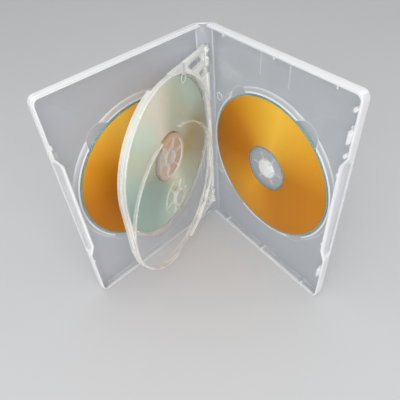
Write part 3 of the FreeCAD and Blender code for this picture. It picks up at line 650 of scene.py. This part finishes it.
def dress_node(node, name, finish, edges):
    """Copy of a moulded piece with its sharp edges broken."""
    mesh = frame["nodes"][node].data.copy()
    mesh.materials.clear()
    mesh.materials.append(finish)
    mesh.materials.append(edges)
    shape = bmesh.new()
    shape.from_mesh(mesh)
    bmesh.ops.remove_doubles(shape, verts=shape.verts, dist=SAME_POINT)
    bmesh.ops.dissolve_limit(shape, angle_limit=SAME_FACE, verts=shape.verts, edges=shape.edges)
    shape.to_mesh(mesh)
    shape.free()
    mesh.shade_smooth()
    piece = link_piece(name, mesh)
    bevel = piece.modifiers.new("edge_break", "BEVEL")
    bevel.width = EDGE_BREAK
    bevel.segments = EDGE_STEPS
    bevel.limit_method = "ANGLE"
    bevel.angle_limit = EDGE_ANGLE
    bevel.harden_normals = True
    # The broken edges take the second finish, near white as a painted highlight
    bevel.material = 1
    piece.data = plain_mesh(piece)
    piece.modifiers.clear()
    bpy.data.meshes.remove(mesh)
    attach(piece, node)
    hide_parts(node)


def ring_tree():
    """Geometry tree of a flat ring with rounded edges about the z axis."""
    tree = bpy.data.node_groups.new("ring", "GeometryNodeTree")
    for title in Ring._fields:
        tree.interface.new_socket(title, in_out="INPUT", socket_type="NodeSocketFloat")
    tree.interface.new_socket("finish", in_out="INPUT", socket_type="NodeSocketMaterial")
    tree.interface.new_socket("ring", in_out="OUTPUT", socket_type="NodeSocketGeometry")
    given = tree.nodes.new("NodeGroupInput")
    sizes = Ring(*(Wire(tree, given.outputs[title]) for title in Ring._fields))
    finish = Wire(tree, given.outputs["finish"])
    wire = Wire(tree)
    section = wire.node("GeometryNodeCurvePrimitiveQuadrilateral", sockets={
        "Width": sizes.outer - sizes.inner, "Height": sizes.high - sizes.low})
    rounded = wire.node("GeometryNodeFilletCurve", {"mode": "POLY"}, {
        "Curve": section, "Count": ROUND_STEPS, "Radius": sizes.edge_round, "Limit Radius": True})
    path = wire.node("GeometryNodeCurvePrimitiveCircle", sockets={
        "Resolution": RING_STEPS, "Radius": (sizes.outer + sizes.inner) * 0.5})
    swept = wire.node("GeometryNodeCurveToMesh", sockets={"Curve": path, "Profile Curve": rounded})
    middle = wire.node("ShaderNodeCombineXYZ", sockets={"Z": (sizes.high + sizes.low) * 0.5})
    raised = wire.node("GeometryNodeTransform", sockets={"Geometry": swept, "Translation": middle})
    whole = wire.node("GeometryNodeRealizeInstances", sockets={"Geometry": raised})
    coated = wire.node("GeometryNodeSetMaterial", sockets={"Geometry": whole, "Material": finish})
    wire.node("NodeGroupOutput", sockets={"ring": coated})
    return tree


RING_TREE = ring_tree()


def make_ring(name, seat, body, ring, finish):
    """Ring about the z axis of a seat, riding on a body."""
    carrier = link_piece("ring", bpy.data.meshes.new("ring"))
    modifier = carrier.modifiers.new("ring", "NODES")
    modifier.node_group = RING_TREE
    values = {**ring._asdict(), "finish": finish}
    for item in RING_TREE.interface.items_tree:
        if item.in_out == "INPUT":
            modifier[item.identifier] = values[item.name]
    mesh = plain_mesh(carrier)
    bpy.data.objects.remove(carrier)
    shape = bmesh.new()
    shape.from_mesh(mesh)
    bmesh.ops.recalc_face_normals(shape, faces=shape.faces)
    shape.to_mesh(mesh)
    shape.free()
    mesh.transform(seat)
    mesh.shade_smooth()
    mesh.set_sharp_from_angle(angle=RING_SHARP)
    piece = link_piece(name, mesh)
    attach(piece, body)
    return piece


def facing(normal):
    """Matrix that turns z to a level direction and keeps y up."""
    up = Vector((0, 0, 1))
    return Matrix((up.cross(normal), up, normal)).transposed().to_4x4()


def make_disc(leaf, face, finishes, sheen_stops):
    """Disc of clear plastic with a printed label side and a mirror layer half way through it."""
    node = leaf.disc
    low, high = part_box(node)
    radius = (high.z - low.z) / 2
    normal = face * leaf.across
    data_side = (low + high) / 2 - normal * DISC_THICKNESS / 2
    seat = Matrix.Translation(data_side) @ facing(normal)
    # The label's print and the mirror layer carry a painted sheen round the disc's axis
    label = sheen_painted_finish(f"{node}_orange", seat, PRINTED, sheen_stops)
    mirror = sheen_painted_finish(f"{node}_silver", seat, RECORDED, SILVER_PAINTED_SHEEN)
    top, middle, half_foil = DISC_THICKNESS, DISC_THICKNESS / 2, FOIL / 2
    layers = (
        ("clear", finishes["clear"], Ring(DISC_HOLE, LABEL_OUTER, DISC_LIFT, top, DISC_ROUND)),
        ("rim", finishes["rim"], Ring(LABEL_OUTER + FOIL, radius, DISC_LIFT, top, DISC_ROUND)),
        # Stack ring in pale white, a painted highlight
        ("stack_ring", finishes["stack"],
         Ring(STACK_RING_INNER, STACK_RING_OUTER, -STACK_RING_HEIGHT, DISC_LIFT, FOIL)),
        ("band", finishes["band"], Ring(BAND_INNER, LABEL_INNER, top - FOIL, top + half_foil, FOIL_ROUND)),
        ("label", label, Ring(LABEL_INNER, LABEL_OUTER, top - half_foil, top + half_foil, FOIL_ROUND)),
        ("mirror", mirror,
         Ring(MIRROR_INNER, LABEL_OUTER - FOIL, middle - half_foil, middle + half_foil, FOIL_ROUND)),
    )
    for title, finish, ring in layers:
        layer = make_ring(f"{node}_{title}", seat, leaf.body, ring, finish)
        if title == "clear":
            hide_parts(node)


def make_mark(name, leaf, place, level, finish):
    """Low round mark on the inner face of a leaf."""
    reach, height = place
    centre = leaf.hinge + reach * leaf.along + level * leaf.across + Vector((0, 0, height))
    seat = Matrix.Translation(centre) @ facing(leaf.across)
    make_ring(name, seat, leaf.body, MARK_RING, finish)


left_frost = moulded_finish("left_frost", LEFT, FROSTED, cover_white)
right_frost = moulded_finish("right_frost", RIGHT, FROSTED, cover_white)
spine_frost = moulded_finish("spine_frost", SPINE, FROSTED, spine_white)
tray_clear = moulded_finish("tray_clear", TRAY, CLEAR, tray_white)
button_white = cap_finish("button_white", WHITE_CAP)
button_clear = cap_finish("button_clear", CLEAR_CAP)
bright_edge_highlight = highlight_edge_finish("bright_edge_highlight", BRIGHT_EDGE_HIGHLIGHT)
cream_edge_highlight = highlight_edge_finish("cream_edge_highlight", CREAM_EDGE_HIGHLIGHT)
pale_rim = disc_finish("pale_rim", PALE_RIM)
disc_finishes = {
    "clear": disc_finish("clear_polycarbonate", DISC_CLEAR),
    "rim": disc_finish("tinted_rim", TINTED_RIM),
    "band": disc_finish("tinted_band", TINTED_BAND),
    "stack": disc_finish("stack_ring_highlight", STACK_RING_HIGHLIGHT),
}

for node, name, finish, edges in (
    ("left_cover", "left_cover_shell", left_frost, bright_edge_highlight),
    ("right_cover", "right_cover_shell", right_frost, bright_edge_highlight),
    ("spine", "spine_strip", spine_frost, bright_edge_highlight),
    ("flip_tray", "flip_tray_leaf", tray_clear, cream_edge_highlight),
    ("left_hub_button", "left_hub_button_cap", button_white, bright_edge_highlight),
    ("right_hub_button", "right_hub_button_cap", button_white, bright_edge_highlight),
    ("tray_far_button", "tray_far_button_cap", button_clear, cream_edge_highlight),
    ("tray_near_button", "tray_near_button_cap", button_clear, cream_edge_highlight),
):
    dress_node(node, name, finish, edges)

# The tray's disc turns its label side away
make_disc(LEFT, 1, disc_finishes, LEFT_PAINTED_SHEEN)
make_disc(RIGHT, 1, disc_finishes, RIGHT_PAINTED_SHEEN)
make_disc(TRAY, -1, {**disc_finishes, "rim": pale_rim}, RIGHT_PAINTED_SHEEN)

for title, leaf, places, level, finish in (
    ("left_cover_mark", LEFT, PANEL_MARKS, PANEL_LEVEL, bright_edge_highlight),
    ("right_cover_mark", RIGHT, PANEL_MARKS, PANEL_LEVEL, bright_edge_highlight),
    ("flip_tray_mark", TRAY, TRAY_MARKS, TRAY_WEB / 2, cream_edge_highlight),
):
    for number, place in enumerate(places, 1):
        make_mark(f"{title}_{number}", leaf, place, level, finish)


def pale_floor():
    """Plain pale floor under the case."""
    material, wire = new_finish("pale_floor")
    tone = mottle(wire, own_spot(wire), FLOOR_PATCHES)
    close_finish(wire, wire.node("ShaderNodeBsdfPrincipled", sockets={
        "Base Color": mixed_colour(wire, tone, *FLOOR_TONES),
        "Roughness": FLOOR_ROUGHNESS + tone * FLOOR_UNEVEN, "Specular IOR Level": FLOOR_GLOSS}))
    corners = [(x * FLOOR_HALF, y * FLOOR_HALF, -FLOOR_DROP) for x, y in ((-1, -1), (1, -1), (1, 1), (-1, 1))]
    mesh = bpy.data.meshes.new("floor")
    mesh.from_pydata(corners, [], [(0, 1, 2, 3)])
    mesh.materials.append(material)
    link_piece("floor", mesh)


def soft_light(name, place, width, power):
    """Square soft light that faces the case."""
    lamp = bpy.data.lights.new(name, "AREA")
    lamp.size = width
    lamp.energy = power
    holder = bpy.data.objects.new(name, lamp)
    scene.collection.objects.link(holder)
    holder.location = place
    holder.rotation_euler = (Vector(place) - LIGHT_AIM).to_track_quat("Z", "Y").to_euler()


def studio():
    """Soft lights from above and from both sides of the front, in a pale surround."""
    for light in SOFT_LIGHTS:
        soft_light(*light)
    world = bpy.data.worlds.new("surround")
    world.use_nodes = True
    world.node_tree.nodes.clear()
    wire = Wire(world.node_tree)
    sky = wire.node("ShaderNodeBackground", sockets={"Color": SURROUND_COLOUR, "Strength": SURROUND_STRENGTH})
    wire.node("ShaderNodeOutputWorld", sockets={"Surface": sky})
    scene.world = world


def camera():
    """Camera where it stood for the view of the open case."""
    level_back = Vector((sin(CAMERA_AZIMUTH), -cos(CAMERA_AZIMUTH), 0))
    back = cos(CAMERA_ELEVATION) * level_back + Vector((0, 0, sin(CAMERA_ELEVATION)))
    right = Vector((0, 0, 1)).cross(back).normalized()
    up = back.cross(right)
    turned_right = cos(CAMERA_ROLL) * right + sin(CAMERA_ROLL) * up
    turned_up = cos(CAMERA_ROLL) * up - sin(CAMERA_ROLL) * right
    lens = bpy.data.cameras.new("view")
    lens.sensor_width = SENSOR
    lens.lens = CAMERA_LENS
    lens.clip_start = CAMERA_NEAR
    holder = bpy.data.objects.new("view", lens)
    scene.collection.objects.link(holder)
    turn = Matrix((turned_right, turned_up, back)).transposed()
    holder.matrix_world = Matrix.Translation(CAMERA_PLACE) @ turn.to_4x4()
    scene.camera = holder


pale_floor()
studio()
camera()
scene.view_settings.view_transform = "Standard"
